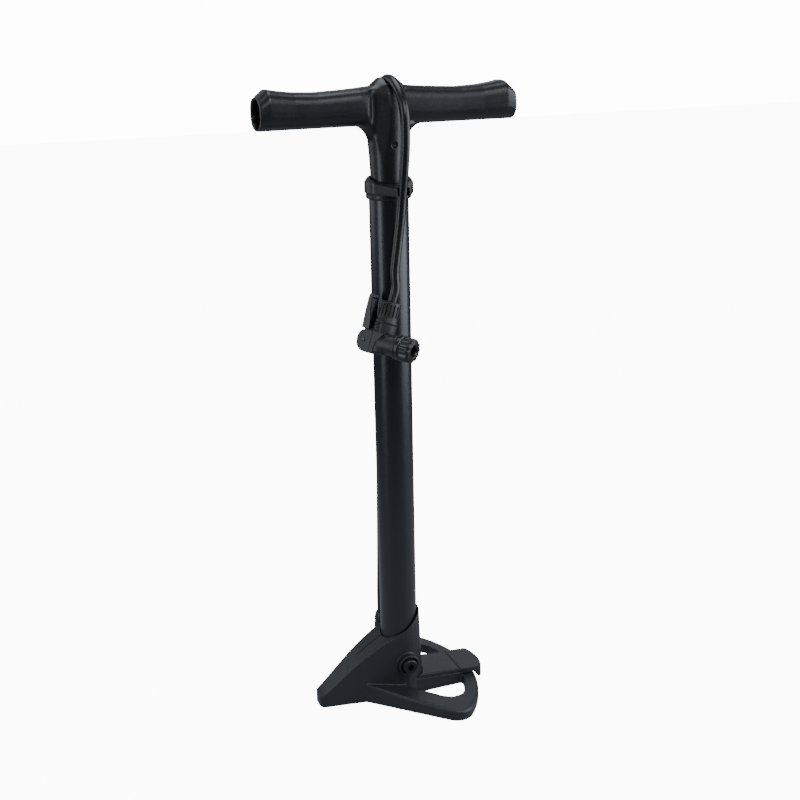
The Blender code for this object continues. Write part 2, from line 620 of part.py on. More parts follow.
def build_nut(mats, place):
    """The knurled nut: lobes round the outside, a clear bore for the tyre valve."""
    bm = bmesh.new()
    segments = 72
    lobes = 12
    profile = [(8.0, 19.3, 0.0), (10.8, 19.3, 0.0), (11.3, 19.8, 0.0), (11.3, 22.6, 0.0), (10.3, 23.2, 0.0),
               (10.3, 23.9, 0.4), (11.1, 24.5, 1.3), (11.1, 31.4, 1.4), (10.2, 33.8, 1.2), (5.6, 34.2, 0.0),
               (4.5, 32.6, 0.0), (4.5, 28.5, 0.0), (8.0, 28.5, 0.0)]
    rings = []
    for radius, height, depth in profile:
        ring = []
        for i in range(segments):
            angle = math.tau * i / segments
            out = radius - depth * (1 + math.cos(lobes * angle)) / 2
            ring.append(bm.verts.new((out * math.cos(angle), out * math.sin(angle), height)))
        rings.append(ring)
    for k, ring in enumerate(rings):
        ring_faces(bm, ring, rings[(k + 1) % len(rings)])
    return finish_object("knurled_nut", bm, mats["gloss_plastic"], place)


# ---------------------------------------------------------------- hose

def hose_route():
    """Up behind the barrel, over the handle's hub, through the clip and down to the head."""
    x, y = GLAND_XY
    route = [(x, y, GLAND_TOP_Z + GAP), (x, y, 92.0), (-6.6, 26.2, 130.0), (-5.0, 26.6, 200.0), (-3.2, 26.8, 290.0),
             (-1.4, 26.8, 380.0), (-0.3, 26.6, 450.0), (0.0, 26.6, 500.0), (0.0, 27.2, 528.0)]
    for degrees in range(0, 181, 15):
        angle = math.radians(degrees)
        lean = 1.5 * max(0.0, (degrees - 90) / 90)
        route.append((lean, ARCH_Y + ARCH_R * math.cos(angle), ARCH_Z + ARCH_R * math.sin(angle)))
    sleeve_top = head_frame() @ Vector((0, COLLAR_END * MM, 0)) / MM
    before = head_frame() @ Vector((0, (COLLAR_END + 12) * MM, 0)) / MM
    way = (before - sleeve_top).normalized()
    route += [(1.6, -37.8, 530.0), (1.2, -35.2, 511.0), (0.3, -31.6, 489.0), (-1.0, -29.8, 468.0), (-3.6, -29.0, 447.0),
              (-7.2, -29.8, 423.0), tuple(before), tuple(sleeve_top + way * GAP)]
    return route


def build_hose(mats):
    """The rubber hose as a round tube."""
    fine = [Vector(point) for point in smooth_line(hose_route(), 12)]
    kept = [fine[0]]
    travelled = 0.0
    for first, second in zip(fine, fine[1:]):
        travelled += (second - first).length
        spacing = (1.0 if second.z > HOSE_FINE_Z else 2.6) * 2 * HOSE_R
        if travelled >= spacing:
            kept.append(second)
            travelled = 0.0
    kept[-1] = fine[-1]
    curve = bpy.data.curves.new("hose", "CURVE")
    curve.dimensions = "3D"
    curve.bevel_depth = HOSE_R * MM
    curve.bevel_resolution = 2
    curve.use_fill_caps = True
    spline = curve.splines.new("POLY")
    spline.points.add(len(kept) - 1)
    for target, point in zip(spline.points, kept):
        target.co = (*(point * MM), 1.0)
    curve.materials.append(mats["hose_rubber"])
    hose = bpy.data.objects.new("hose", curve)
    bpy.context.scene.collection.objects.link(hose)


def main():
    """Build the whole pump."""
    clear_scene()
    mats = {
        "paint": make_material("barrel_paint", (0.018, 0.021, 0.027), 0.34, 0.4),
        "plastic": make_material("foot_plastic", (0.022, 0.023, 0.026), 0.62),
        "handle_plastic": make_material("handle_plastic", (0.016, 0.017, 0.020), 0.45),
        "gloss_plastic": make_material("head_plastic", (0.020, 0.020, 0.022), 0.35),
        "white_plastic": make_material("guide_plastic", (0.62, 0.61, 0.58), 0.5),
        "hose_rubber": make_material("hose_rubber", (0.012, 0.012, 0.013), 0.25),
        "rubber": make_material("rubber", (0.02, 0.02, 0.02), 0.8),
        "steel": make_material("steel", (0.55, 0.55, 0.56), 0.3, 1.0),
        "black_steel": make_material("black_steel", (0.03, 0.03, 0.035), 0.35, 0.8),
        "chrome": make_material("rod_chrome", (0.7, 0.7, 0.72), 0.12, 1.0),
        "brass": make_material("brass", (0.66, 0.5, 0.22), 0.3, 1.0),
    }
    build_foot(mats["plastic"])
    build_foot_fittings(mats)
    build_barrel(mats)
    build_piston(mats)
    build_collar(mats)
    build_handle(mats)
    build_head(mats)
    build_hose(mats)


main()
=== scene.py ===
"""Floor bicycle pump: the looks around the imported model."""
import math

import bmesh
import bpy
from mathutils import Matrix, Vector


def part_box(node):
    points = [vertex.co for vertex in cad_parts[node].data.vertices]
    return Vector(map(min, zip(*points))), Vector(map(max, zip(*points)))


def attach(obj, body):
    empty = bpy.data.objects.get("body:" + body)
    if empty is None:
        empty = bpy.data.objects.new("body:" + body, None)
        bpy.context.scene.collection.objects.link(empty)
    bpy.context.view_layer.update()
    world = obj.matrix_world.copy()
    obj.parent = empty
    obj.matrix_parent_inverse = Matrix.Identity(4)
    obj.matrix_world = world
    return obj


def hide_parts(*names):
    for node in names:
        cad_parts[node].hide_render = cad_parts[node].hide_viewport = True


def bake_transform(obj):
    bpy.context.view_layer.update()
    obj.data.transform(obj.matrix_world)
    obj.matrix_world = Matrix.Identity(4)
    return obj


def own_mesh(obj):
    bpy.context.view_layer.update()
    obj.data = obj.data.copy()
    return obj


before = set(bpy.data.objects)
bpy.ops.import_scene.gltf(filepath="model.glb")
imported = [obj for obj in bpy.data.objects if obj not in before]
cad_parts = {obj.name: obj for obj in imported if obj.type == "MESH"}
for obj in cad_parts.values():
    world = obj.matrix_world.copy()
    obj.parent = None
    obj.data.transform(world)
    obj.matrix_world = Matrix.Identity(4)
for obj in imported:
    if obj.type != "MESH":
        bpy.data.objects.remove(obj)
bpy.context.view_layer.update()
MM = 0.001

# Sizes and places are in millimetres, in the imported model's own frame.

# Hose: its outlet behind the barrel, and its arch over the handle's hub
HOSE_R = 4.1
HOSE_SIDES = 24
HOSE_STEPS = 6
GLAND_XY = (-7.8, 26.0)
GLAND_TOP_Z = 72.0
ARCH_R = 33.0
ARCH_Y = -5.5
ARCH_Z = 549.3
ARCH_LEAN = 1.5

# Pump head: its middle, and the ways its valve mouth and its hose point
HEAD_MIDDLE = Vector((-24.3, -37.6, 362.9))
HEAD_VALVE_WAY = Vector((0.5728, -0.8135, -0.1003)).normalized()
HEAD_HOSE_WAY = Vector((0.3454, 0.1285, 0.9296))
SLEEVE_TOP = 36.0
SLEEVE_GROOVES = 16
# How far above the sleeve the last point but one of the hose's route lies
HOSE_STRAIGHT = 12

# Barrel tube
BARREL_R = 17.5
BARREL_BORE_R = 16.0

# Foot: the arms' outer edge, where x + y is this sum, the rim's arc, the arc round an arm's tip, and the
# arms' top line as (x, z)
ARM_OUTER_SUM = -57.5
RIM_CENTRE_X = -40.6
RIM_OUTER_R = 114.5
ARM_TIP = (31.45, -66.4)
ARM_TIP_R = 16.3
ARM_TOP = ((-60.0, 22.6), (-41.0, 20.0), (-8.5, 14.4), (23.0, 11.6), (50.0, 10.1), (90.0, 9.4))
EDGE_CHAMFER = 2.0

# Tread plate: the height and slope of its top
TREAD_TOP_Z = 19.8
TREAD_SLOPE = 0.062

# Socket bolt: where its shank starts
BOLT_SPOT = (0, -9.5, 36.5)

# Collar: how far out its clip's arms are planed, and by how many degrees the cut is turned
CLIP_FLAT_AT = 22.3
CLIP_FLAT_TURN = 27.5

# Handle: two corners of the box in which the bar and the hub flow together
HUB_BLEND = ((-27.0, -30.0, 534.0), (-5.0, -5.0, 586.0))
HUB_BLEND_ROUNDS = 150

# Camera: place in metres, heading, pitch and roll in radians, lens in millimetres
CAMERA_SPOT = (-0.38275, -1.00365, 0.63578)
CAMERA_HEADING = Vector((0.3616, 0.9323, 0.0)).normalized()
CAMERA_PITCH = math.radians(17.52)
CAMERA_ROLL = math.radians(-1.23)
CAMERA_LENS = 55.26

# Floor and sky: how bright each looks, and how bright it is in the pump's own gloss. The floor's is a
# painted glow, stronger near the pump than far out.
FLOOR_SEEN = 11.0
FLOOR_GLOW_NEAR = 0.42
FLOOR_GLOW_FAR = 0.04
SKY_SEEN = 14.0
SKY_FELT = 0.16


# ---------------------------------------------------------------- modelling helpers

def deselect():
    """Nothing selected, nothing active."""
    if bpy.context.object and bpy.context.object.mode != "OBJECT":
        bpy.ops.object.mode_set(mode="OBJECT")
    bpy.ops.object.select_all(action="DESELECT")


def pick(piece):
    """Only this piece selected, and active."""
    deselect()
    piece.select_set(True)
    bpy.context.view_layer.objects.active = piece


def settle(piece):
    """Put the piece's place into its mesh, so its object sits at the origin."""
    pick(piece)
    bpy.ops.object.transform_apply(location=True, rotation=True, scale=True)
    return piece


def apply_modifier(piece, kind, **values):
    """Add a modifier, set it and apply it."""
    step = piece.modifiers.new(kind.lower(), kind)
    for name, value in values.items():
        setattr(step, name, value)
    pick(piece)
    bpy.ops.object.modifier_apply(modifier=step.name)
    return piece


def smooth(piece, degrees=35):
    """Shade smooth, with the sharp turns kept."""
    pick(piece)
    bpy.ops.object.shade_smooth_by_angle(angle=math.radians(degrees))
    return piece


def finish_piece(piece, name, body, material, node, degrees=35):
    """Name a piece, give it its finish and body, and hide the solid it stands for."""
    piece.name = name
    piece.data.name = name
    smooth(piece, degrees)
    piece.data.materials.clear()
    piece.data.materials.append(material)
    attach(piece, body)
    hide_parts(node)
    return piece


def copy_of(node):
    """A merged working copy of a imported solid."""
    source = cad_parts[node]
    mesh = source.data.copy()
    piece = bpy.data.objects.new(node + "_work", mesh)
    bpy.context.scene.collection.objects.link(piece)
    bm = bmesh.new()
    bm.from_mesh(mesh)
    bmesh.ops.remove_doubles(bm, verts=bm.verts, dist=1e-6)
    bmesh.ops.dissolve_limit(bm, angle_limit=math.radians(0.5), verts=bm.verts, edges=bm.edges)
    bmesh.ops.recalc_face_normals(bm, faces=bm.faces)
    bm.to_mesh(mesh)
    bm.free()
    mesh.materials.clear()
    return piece


def moulded(piece, grid, rounds):
    """Even out a solid into a fine skin whose edges are softly rounded, as a moulding's are."""
    apply_modifier(piece, "REMESH", mode="VOXEL", voxel_size=grid * MM)
    apply_modifier(piece, "SMOOTH", factor=0.5, iterations=rounds)
    return piece


def lighten(piece, share):
    """Merge the skin's small faces where it is flat, down to a share of them."""
    return apply_modifier(piece, "DECIMATE", decimate_type="COLLAPSE", ratio=share,
                          use_collapse_triangulate=True)


def done_editing():
    """Back to object mode."""
    bpy.ops.object.mode_set(mode="OBJECT")


def rod_between(radius, low, high, vertices):
    """A capped cylinder along Z from low to high, in millimetres."""
    deselect()
    bpy.ops.mesh.primitive_cylinder_add(vertices=vertices, radius=radius * MM, depth=(high - low) * MM,
                                        location=(0, 0, (low + high) / 2 * MM))
    return settle(bpy.context.object)


def turn_up(outline, vertices=48):
    """A disc at the outline's first (radius, height), drawn on through the others by extrusion."""
    deselect()
    first_r, first_z = outline[0]
    bpy.ops.mesh.primitive_circle_add(vertices=vertices, radius=first_r * MM, fill_type="NGON",
                                      location=(0, 0, first_z * MM))
    piece = settle(bpy.context.object)
    pick(piece)
    bpy.ops.object.mode_set(mode="EDIT")
    bpy.ops.mesh.select_all(action="SELECT")
    radius, height = first_r, first_z
    for next_r, next_z in outline[1:]:
        bpy.ops.mesh.extrude_region_move(TRANSFORM_OT_translate={"value": (0, 0, (next_z - height) * MM)})
        factor = next_r / radius
        bpy.ops.transform.resize(value=(factor, factor, 1), center_override=(0, 0, next_z * MM))
        radius, height = next_r, next_z
    bpy.ops.mesh.select_all(action="SELECT")
    bpy.ops.mesh.normals_make_consistent(inside=False)
    done_editing()
    return piece


def head_frame():
    """Local X is the valve's way out, local Y the hose's, local Z the lever pin's."""
    x = HEAD_VALVE_WAY
    y = (HEAD_HOSE_WAY - x * HEAD_HOSE_WAY.dot(x)).normalized()
    z = x.cross(y)
    turn = Matrix((x, y, z)).transposed().to_4x4()
    return Matrix.Translation(HEAD_MIDDLE * MM) @ turn


def put(piece, place):
    """Set a piece down at a placement, in its mesh."""
    piece.data.transform(place)
    return piece


def subtract(piece, tool):
    """Cut a tool out of a piece and throw the tool away."""
    apply_modifier(piece, "BOOLEAN", operation="DIFFERENCE", solver="EXACT", object=tool)
    bpy.data.objects.remove(tool, do_unlink=True)
    return piece


def swept(name, rings):
    """A closed solid drawn through rings of points, given in millimetres."""
    bm = bmesh.new()
    loops = [[bm.verts.new(Vector(spot) * MM) for spot in ring] for ring in rings]
    sides = len(loops[0])
    for first, second in zip(loops, loops[1:]):
        for k in range(sides):
            after = (k + 1) % sides
            bm.faces.new((first[k], first[after], second[after], second[k]))
    bm.faces.new(loops[0])
    bm.faces.new(loops[-1])
    bmesh.ops.recalc_face_normals(bm, faces=bm.faces)
    mesh = bpy.data.meshes.new(name)
    bm.to_mesh(mesh)
    bm.free()
    piece = bpy.data.objects.new(name, mesh)
    bpy.context.scene.collection.objects.link(piece)
    return piece


# ---------------------------------------------------------------- finishes

def new_group(name, inputs, outputs):
    """A shader node group with named sockets."""
    tree = bpy.data.node_groups.new(name, "ShaderNodeTree")
    for label, kind, value in inputs:
        socket = tree.interface.new_socket(name=label, in_out="INPUT", socket_type=kind)
        if value is not None:
            socket.default_value = value
    for label, kind in outputs:
        tree.interface.new_socket(name=label, in_out="OUTPUT", socket_type=kind)
    return tree, tree.nodes.new("NodeGroupInput"), tree.nodes.new("NodeGroupOutput")


def put_node(tree, kind, **values):
    """Add a node and set its plain properties and its sockets' values."""
    node = tree.nodes.new(kind)
    for name, value in values.items():
        if hasattr(node, name):
            setattr(node, name, value)
        else:
            node.inputs[name.replace("_", " ")].default_value = value
    return node


def grain_group():
    """Moulded grain: a fine height with slow drift in how matte it is."""
    tree, given, out = new_group(
        "Moulded grain",
        [("Scale", "NodeSocketFloat", 2600.0), ("Drift", "NodeSocketFloat", 0.06),
         ("Roughness", "NodeSocketFloat", 0.5)],
        [("Height", "NodeSocketFloat"), ("Roughness", "NodeSocketFloat"), ("Cloud", "NodeSocketFloat")])
    place = put_node(tree, "ShaderNodeTexCoord")
    fine = put_node(tree, "ShaderNodeTexNoise", Detail=3.0)
    pits = put_node(tree, "ShaderNodeTexVoronoi")
    cloud = put_node(tree, "ShaderNodeTexNoise", Scale=28.0, Detail=4.0)
    tree.links.new(place.outputs["Object"], fine.inputs["Vector"])
    tree.links.new(place.outputs["Object"], pits.inputs["Vector"])
    tree.links.new(place.outputs["Object"], cloud.inputs["Vector"])
    tree.links.new(given.outputs["Scale"], fine.inputs["Scale"])
    tree.links.new(given.outputs["Scale"], pits.inputs["Scale"])
    mix = put_node(tree, "ShaderNodeMath", operation="MULTIPLY")
    tree.links.new(fine.outputs["Fac"], mix.inputs[0])
    tree.links.new(pits.outputs["Distance"], mix.inputs[1])
    tree.links.new(mix.outputs[0], out.inputs["Height"])
    centred = put_node(tree, "ShaderNodeMath", operation="SUBTRACT")
    centred.inputs[1].default_value = 0.5
    tree.links.new(cloud.outputs["Fac"], centred.inputs[0])
    wide = put_node(tree, "ShaderNodeMath", operation="MULTIPLY_ADD")
    tree.links.new(centred.outputs[0], wide.inputs[0])
    tree.links.new(given.outputs["Drift"], wide.inputs[1])
    tree.links.new(given.outputs["Roughness"], wide.inputs[2])
    tree.links.new(wide.outputs[0], out.inputs["Roughness"])
    tree.links.new(cloud.outputs["Fac"], out.inputs["Cloud"])
    return tree


def wear_group():
    """Edge wear: a broken mask along the convex edges."""
    tree, given, out = new_group(
        "Edge wear", [("Start", "NodeSocketFloat", 0.52), ("Amount", "NodeSocketFloat", 0.5)],
        [("Mask", "NodeSocketFloat")])
    shape = put_node(tree, "ShaderNodeNewGeometry")
    place = put_node(tree, "ShaderNodeTexCoord")
    breakup = put_node(tree, "ShaderNodeTexNoise", Scale=240.0, Detail=5.0)
    tree.links.new(place.outputs["Object"], breakup.inputs["Vector"])
    ramp = put_node(tree, "ShaderNodeMapRange")
    tree.links.new(shape.outputs["Pointiness"], ramp.inputs["Value"])
    tree.links.new(given.outputs["Start"], ramp.inputs["From Min"])
    ramp.inputs["From Max"].default_value = 0.62
    patch = put_node(tree, "ShaderNodeMapRange")
    tree.links.new(breakup.outputs["Fac"], patch.inputs["Value"])
    patch.inputs["From Min"].default_value = 0.38
    patch.inputs["From Max"].default_value = 0.62
    first = put_node(tree, "ShaderNodeMath", operation="MULTIPLY")
    tree.links.new(ramp.outputs["Result"], first.inputs[0])
    tree.links.new(patch.outputs["Result"], first.inputs[1])
    second = put_node(tree, "ShaderNodeMath", operation="MULTIPLY", use_clamp=True)
    tree.links.new(first.outputs[0], second.inputs[0])
    tree.links.new(given.outputs["Amount"], second.inputs[1])
    tree.links.new(second.outputs[0], out.inputs["Mask"])
    return tree


def dust_group():
    """Dust: settles on faces that look up, in soft patches."""
    tree, given, out = new_group(
        "Settled dust", [("Amount", "NodeSocketFloat", 0.1)], [("Mask", "NodeSocketFloat")])
    shape = put_node(tree, "ShaderNodeNewGeometry")
    split = put_node(tree, "ShaderNodeSeparateXYZ")
    tree.links.new(shape.outputs["Normal"], split.inputs[0])
    place = put_node(tree, "ShaderNodeTexCoord")
    patch = put_node(tree, "ShaderNodeTexNoise", Scale=90.0, Detail=6.0)
    tree.links.new(place.outputs["Object"], patch.inputs["Vector"])
    up = put_node(tree, "ShaderNodeMapRange")
    up.inputs["From Min"].default_value = 0.35
    tree.links.new(split.outputs["Z"], up.inputs["Value"])
    first = put_node(tree, "ShaderNodeMath", operation="MULTIPLY")
    tree.links.new(up.outputs["Result"], first.inputs[0])
    tree.links.new(patch.outputs["Fac"], first.inputs[1])
    second = put_node(tree, "ShaderNodeMath", operation="MULTIPLY", use_clamp=True)
    tree.links.new(first.outputs[0], second.inputs[0])
    tree.links.new(given.outputs["Amount"], second.inputs[1])
    tree.links.new(second.outputs[0], out.inputs["Mask"])
    return tree


GRAIN = grain_group()
WEAR = wear_group()
DUST = dust_group()


def finish_of(name, colour, light, roughness, drift, scale, bump, wear=0.0, dust=0.0, metallic=0.0,
              coat=0.0, coat_roughness=0.1):
    """A material: a colour that drifts a little, with grain, worn edges and dust of a lighter colour."""
    made = bpy.data.materials.new(name)
    made.use_nodes = True
    tree = made.node_tree
    shader = tree.nodes["Principled BSDF"]
    shader.inputs["Metallic"].default_value = metallic
    shader.inputs["Coat Weight"].default_value = coat
    shader.inputs["Coat Roughness"].default_value = coat_roughness
    grain = put_node(tree, "ShaderNodeGroup", node_tree=GRAIN)
    grain.inputs["Scale"].default_value = scale
    grain.inputs["Drift"].default_value = drift
    grain.inputs["Roughness"].default_value = roughness
    tree.links.new(grain.outputs["Roughness"], shader.inputs["Roughness"])
    base = put_node(tree, "ShaderNodeMix", data_type="RGBA")
    base.inputs["A"].default_value = (*colour, 1)
    base.inputs["B"].default_value = (*[min(1.0, c * 1.35 + 0.002) for c in colour], 1)
    tree.links.new(grain.outputs["Cloud"], base.inputs["Factor"])
    colour_out = base.outputs["Result"]
    for group, amount in ((WEAR, wear), (DUST, dust)):
        if amount <= 0:
            continue
        mask = put_node(tree, "ShaderNodeGroup", node_tree=group)
        mask.inputs["Amount"].default_value = amount
        layer = put_node(tree, "ShaderNodeMix", data_type="RGBA")
        layer.inputs["B"].default_value = (*light, 1)
        tree.links.new(mask.outputs["Mask"], layer.inputs["Factor"])
        tree.links.new(colour_out, layer.inputs["A"])
        colour_out = layer.outputs["Result"]
    tree.links.new(colour_out, shader.inputs["Base Color"])
    relief = put_node(tree, "ShaderNodeBump", Strength=bump, Distance=0.0002)
    tree.links.new(grain.outputs["Height"], relief.inputs["Height"])
    tree.links.new(relief.outputs["Normal"], shader.inputs["Normal"])
    made.diffuse_color = (*colour, 1)
    return made


FOOT_BLACK = finish_of("foot_black_moulding",
    colour=(0.0085, 0.0097, 0.0120), light=(0.05, 0.053, 0.058), roughness=0.46, drift=0.14,
    scale=1150.0, bump=0.16, wear=0.35, dust=0.05)
HANDLE_BLACK = finish_of("handle_satin_black",
    colour=(0.0066, 0.0072, 0.0088), light=(0.045, 0.047, 0.051), roughness=0.34, drift=0.14,
    scale=1300.0, bump=0.07, wear=0.25, dust=0.03)
COLLAR_BLACK = finish_of("collar_black",
    colour=(0.0080, 0.0086, 0.0102), light=(0.045, 0.047, 0.051), roughness=0.38, drift=0.12,
    scale=1300.0, bump=0.08, wear=0.25, dust=0.03)
BARREL_BLACK = finish_of("barrel_blue_black_paint",
    colour=(0.0048, 0.0066, 0.0098), light=(0.05, 0.055, 0.06), roughness=0.33, drift=0.06, scale=900.0,
    bump=0.02, dust=0.02, coat=0.25, coat_roughness=0.25)
HEAD_GLOSS = finish_of("head_gloss_black",
    colour=(0.0085, 0.0092, 0.0105), light=(0.05, 0.052, 0.056), roughness=0.30, drift=0.10,
    scale=1500.0, bump=0.04, wear=0.25, dust=0.02)
HEAD_SATIN = finish_of("head_satin_black",
    colour=(0.0100, 0.0106, 0.0120), light=(0.05, 0.052, 0.056), roughness=0.44, drift=0.10,
    scale=1300.0, bump=0.12, wear=0.25, dust=0.02)
SLEEVE_BLACK = finish_of("sleeve_dark_satin",
    colour=(0.0034, 0.0036, 0.0042), light=(0.03, 0.032, 0.036), roughness=0.48, drift=0.10,
    scale=1300.0, bump=0.10, wear=0.2, dust=0.02)
HOSE_BLACK = finish_of("hose_glossy_rubber",
    colour=(0.0055, 0.0057, 0.0065), light=(0.05, 0.05, 0.05), roughness=0.31, drift=0.08, scale=1600.0,
    bump=0.03)
RUBBER = finish_of("soft_rubber",
    colour=(0.012, 0.012, 0.012), light=(0.06, 0.06, 0.06), roughness=0.75, drift=0.08, scale=1800.0,
    bump=0.35)
STEEL = finish_of("plain_steel",
    colour=(0.50, 0.50, 0.51), light=(0.7, 0.7, 0.7), roughness=0.30, drift=0.12, scale=1400.0,
    bump=0.05, metallic=1.0)
BOLT_BLACK = finish_of("black_oxide_bolt",
    colour=(0.020, 0.021, 0.024), light=(0.12, 0.12, 0.12), roughness=0.32, drift=0.10, scale=1600.0,
    bump=0.05, wear=0.4, metallic=0.6)
CHROME = finish_of("polished_rod",
    colour=(0.62, 0.63, 0.65), light=(0.8, 0.8, 0.8), roughness=0.10, drift=0.04, scale=3000.0,
    bump=0.02, metallic=1.0)
BRASS = finish_of("turned_brass",
    colour=(0.60, 0.44, 0.18), light=(0.8, 0.7, 0.5), roughness=0.28, drift=0.10, scale=1600.0,
    bump=0.05, metallic=1.0)
OFF_WHITE = finish_of("off_white_moulding",
    colour=(0.56, 0.55, 0.51), light=(0.75, 0.74, 0.7), roughness=0.5, drift=0.08, scale=1300.0,
    bump=0.10)

KEPT_NODES = {
    "foot": FOOT_BLACK, "tread_plate": FOOT_BLACK, "hose_gland": FOOT_BLACK,
    "top_collar": COLLAR_BLACK,
    "handle": HANDLE_BLACK,
    "barrel": BARREL_BLACK,
    "head_body": HEAD_GLOSS, "hose_sleeve": HEAD_GLOSS, "lock_lever": HEAD_GLOSS,
    "knurled_nut": HEAD_GLOSS,
    "nose_pad": RUBBER, "front_arm_pad": RUBBER, "back_arm_pad": RUBBER, "rim_pad": RUBBER,
    "plug_seal": RUBBER, "rod_wiper": RUBBER, "stop_ring": RUBBER, "piston_cup": RUBBER,
    "valve_gasket": RUBBER,
    "tread_screw_1": STEEL, "tread_screw_2": STEEL, "check_ball": STEEL, "check_spring": STEEL,
    "piston_washer": STEEL, "piston_nut": STEEL,
    "handle_pin": BOLT_BLACK, "lever_pin": BOLT_BLACK, "socket_bolt": BOLT_BLACK,
    "piston_rod": CHROME,
    "valve_seat": BRASS, "outlet_elbow": BRASS, "hose_barb": BRASS, "valve_depressor": BRASS,
    "foot_plug": OFF_WHITE, "rod_bush": OFF_WHITE, "piston_head": OFF_WHITE, "head_plunger": OFF_WHITE,
    "hose": HOSE_BLACK,
}
for node_name, node_material in KEPT_NODES.items():
    node_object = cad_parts[node_name]
    node_object.data.materials.clear()
    node_object.data.materials.append(node_material)


# ---------------------------------------------------------------- camera, floor and light

def build_camera():
    """The camera, aimed down at the pump from its nose side."""
    side = Vector((CAMERA_HEADING.y, -CAMERA_HEADING.x, 0))
    forward = CAMERA_HEADING * math.cos(CAMERA_PITCH) - Vector((0, 0, math.sin(CAMERA_PITCH)))
    rise = CAMERA_HEADING * math.sin(CAMERA_PITCH) + Vector((0, 0, math.cos(CAMERA_PITCH)))
    right = side * math.cos(CAMERA_ROLL) + rise * math.sin(CAMERA_ROLL)
    up = rise * math.cos(CAMERA_ROLL) - side * math.sin(CAMERA_ROLL)
    data = bpy.data.cameras.new("camera")
    data.lens = CAMERA_LENS
    data.sensor_width = 36.0
    camera = bpy.data.objects.new("camera", data)
    turn = Matrix((right, up, -forward)).transposed().to_4x4()
    camera.matrix_world = Matrix.Translation(CAMERA_SPOT) @ turn
    bpy.context.scene.collection.objects.link(camera)
    bpy.context.scene.camera = camera


def soft_light(name, spot, aim_z, wide, tall, power):
    """A rectangular soft light, aimed at a height on the barrel's axis. Metres and watts."""
    data = bpy.data.lights.new(name, "AREA")
    data.shape = "RECTANGLE"
    data.size = wide
    data.size_y = tall
    data.energy = power
    data.color = (0.90, 0.96, 1.04)
    light = bpy.data.objects.new(name, data)
    way = Vector((0, 0, aim_z)) - Vector(spot)
    light.matrix_world = Matrix.Translation(spot) @ way.to_track_quat("-Z", "Y").to_matrix().to_4x4()
    bpy.context.scene.collection.objects.link(light)


def split_for_camera(tree, seen, felt):
    """What the camera sees of a backdrop, and what the pump's own gloss picks up from it."""
    path = put_node(tree, "ShaderNodeLightPath")
    mix = put_node(tree, "ShaderNodeMixShader")
    tree.links.new(path.outputs["Is Camera Ray"], mix.inputs[0])
    tree.links.new(felt.outputs[0], mix.inputs[1])
    tree.links.new(seen.outputs[0], mix.inputs[2])
    return mix


def floor_material():
    """Pale where it is looked at; for all other rays a painted glow, bright round the pump and dim further
    out, which lights the pump from below and shows in its gloss.
    """
    made = bpy.data.materials.new("floor_pale_painted_glow")
    made.use_nodes = True
    tree = made.node_tree
    tree.nodes.clear()
    output = put_node(tree, "ShaderNodeOutputMaterial")
    matte = put_node(tree, "ShaderNodeBsdfDiffuse", Color=(0.9, 0.9, 0.9, 1))
    glow = put_node(tree, "ShaderNodeEmission", Color=(1, 1, 1, 1), Strength=FLOOR_SEEN)
    seen = put_node(tree, "ShaderNodeAddShader")
    tree.links.new(matte.outputs[0], seen.inputs[0])
    tree.links.new(glow.outputs[0], seen.inputs[1])
    place = put_node(tree, "ShaderNodeTexCoord")
    reach = put_node(tree, "ShaderNodeVectorMath", operation="LENGTH")
    tree.links.new(place.outputs["Object"], reach.inputs[0])
    fade = put_node(tree, "ShaderNodeMapRange", interpolation_type="SMOOTHSTEP")
    fade_values = {"From Min": 0.25, "From Max": 1.1, "To Min": FLOOR_GLOW_NEAR, "To Max": FLOOR_GLOW_FAR}
    for label, value in fade_values.items():
        fade.inputs[label].default_value = value
    tree.links.new(reach.outputs["Value"], fade.inputs["Value"])
    # Painted glow: the floor gives off light round the pump and less further out; it lights the pump and
    # shows in its gloss.
    felt = put_node(tree, "ShaderNodeEmission", Color=(0.86, 0.94, 1.04, 1))
    tree.links.new(fade.outputs["Result"], felt.inputs["Strength"])
    mix = split_for_camera(tree, seen, felt)
    tree.links.new(mix.outputs[0], output.inputs["Surface"])
    return made


def build_stage():
    """A pale floor under an even sky, with six soft boxes round and above the pump."""
    deselect()
    bpy.ops.mesh.primitive_plane_add(size=12.0, location=(0, 0, -0.0002))
    floor = settle(bpy.context.object)
    floor.name = "floor"
    floor.data.materials.append(floor_material())
    world = bpy.data.worlds.new("studio")
    world.use_nodes = True
    tree = world.node_tree
    tree.nodes.clear()
    output = put_node(tree, "ShaderNodeOutputWorld")
    seen = put_node(tree, "ShaderNodeBackground", Color=(1, 1, 1, 1), Strength=SKY_SEEN)
    felt = put_node(tree, "ShaderNodeBackground", Color=(0.90, 0.95, 1.0, 1), Strength=SKY_FELT)
    mix = split_for_camera(tree, seen, felt)
    tree.links.new(mix.outputs[0], output.inputs["Surface"])
    bpy.context.scene.world = world
    soft_light("left_box", (-1.22, -0.30, 0.55), aim_z=0.35, wide=0.45, tall=1.1, power=5.5)
    soft_light("right_box", (1.015, -0.54, 0.55), aim_z=0.35, wide=1.2, tall=1.1, power=15.5)
    soft_light("back_left_box", (-0.92, 0.77, 0.65), aim_z=0.42, wide=0.9, tall=0.9, power=3.2)
    soft_light("top_box", (-0.1, 0.2, 1.6), aim_z=0.3, wide=0.9, tall=0.9, power=9)
    soft_light("front_box", (0.1, -1.6, 1.5), aim_z=0.4, wide=1.0, tall=0.7, power=12)
    soft_light("back_box", (0.65, 1.7, 0.8), aim_z=0.2, wide=1.6, tall=1.0, power=4)


# ---------------------------------------------------------------- hose

